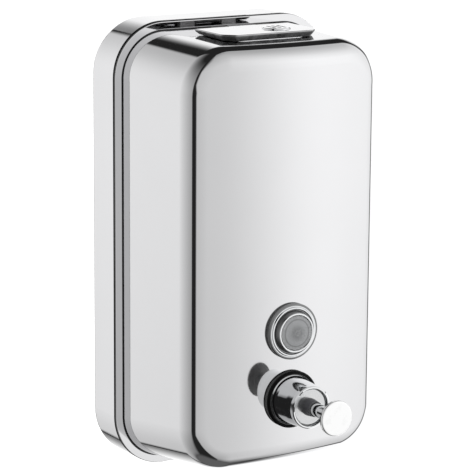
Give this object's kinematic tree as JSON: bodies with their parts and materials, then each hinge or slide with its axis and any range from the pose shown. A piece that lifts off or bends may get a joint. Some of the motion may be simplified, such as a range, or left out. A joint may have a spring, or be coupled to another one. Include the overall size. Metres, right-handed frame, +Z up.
{
  "type": "wall mounted soap dispenser",
  "caption": "Refillable wall mounted liquid soap dispenser: drawn steel tank with hinged locking filler lid, round sight window and push valve.",
  "frame": {"origin": "centre of the wall bracket's four-screw pattern, on the wall plane, half way up the dispenser", "axes": "+Z up, -Y out of the wall into the room, +X to the right seen from the room"},
  "size_m": [0.1134, 0.123, 0.208],
  "materials": {
    "polished_steel": "polished stainless steel sheet",
    "sheet_steel": "plain mill-finish stainless steel",
    "chrome": "bright chrome plate on brass",
    "spring_steel": "stainless spring wire and balls",
    "black_rubber": "moulded rubber",
    "black_plastic": "black acetal",
    "white_plastic": "white acetal",
    "clear_plastic": "clear smoked acrylic"
  },
  "bodies": {
    "dispenser": {"front_shell": "polished_steel", "tank_back_plate": "sheet_steel", "back_pan": "polished_steel", "wall_bracket": "sheet_steel", "hanger_clip": "sheet_steel", "lock_screw_nut": "sheet_steel", "lock_screw": "sheet_steel", "filler_rim": "polished_steel", "hinge_ears": "polished_steel", "hinge_pin": "sheet_steel", "window_gasket": "black_rubber", "window_bezel": "chrome", "window_lens": "clear_plastic", "window_back_washer": "black_rubber", "window_nut": "chrome", "valve_gasket": "black_rubber", "valve_housing": "chrome", "valve_back_washer": "black_rubber", "valve_nut": "chrome", "gland_disc": "chrome", "rod_bush": "black_plastic", "inlet_seat": "white_plastic", "return_spring": "spring_steel"},
    "lid": {"lid": "polished_steel", "lid_gasket": "black_rubber"},
    "lid_lock": {"lock_barrel": "chrome", "lock_nut": "sheet_steel", "lock_cam": "sheet_steel"},
    "plunger": {"push_knob": "chrome", "push_rod": "chrome", "piston": "white_plastic", "piston_seal": "black_rubber"},
    "inlet_ball": {"inlet_ball": "spring_steel"},
    "discharge_ball": {"discharge_ball": "spring_steel"}
  },
  "joints": [
    {"name": "lid_hinge", "type": "hinge", "parent": "dispenser", "child": "lid", "pos_m": [0, -0.0384, 0.1008], "axis": [-1, 0, 0], "range_deg": [0, 105]},
    {"name": "lock_turn", "type": "hinge", "parent": "lid", "child": "lid_lock", "pos_m": [0.009, -0.055, 0.1], "axis": [0, 0, 1], "range_deg": [0, 90]},
    {"name": "knob_push", "type": "slide", "parent": "dispenser", "child": "plunger", "axis": [0, 1, 0], "range_m": [0, 0.013], "stiffness_N_per_m": 250, "springref_m": -0.012, "deforming": ["return_spring"]},
    {"name": "inlet_ball_lift", "type": "slide", "parent": "dispenser", "child": "inlet_ball", "axis": [0, -1, 0], "range_m": [0, 0.001]},
    {"name": "discharge_ball_lift", "type": "slide", "parent": "plunger", "child": "discharge_ball", "axis": [0, -1, 0], "range_m": [0, 0.001]}
  ]
}
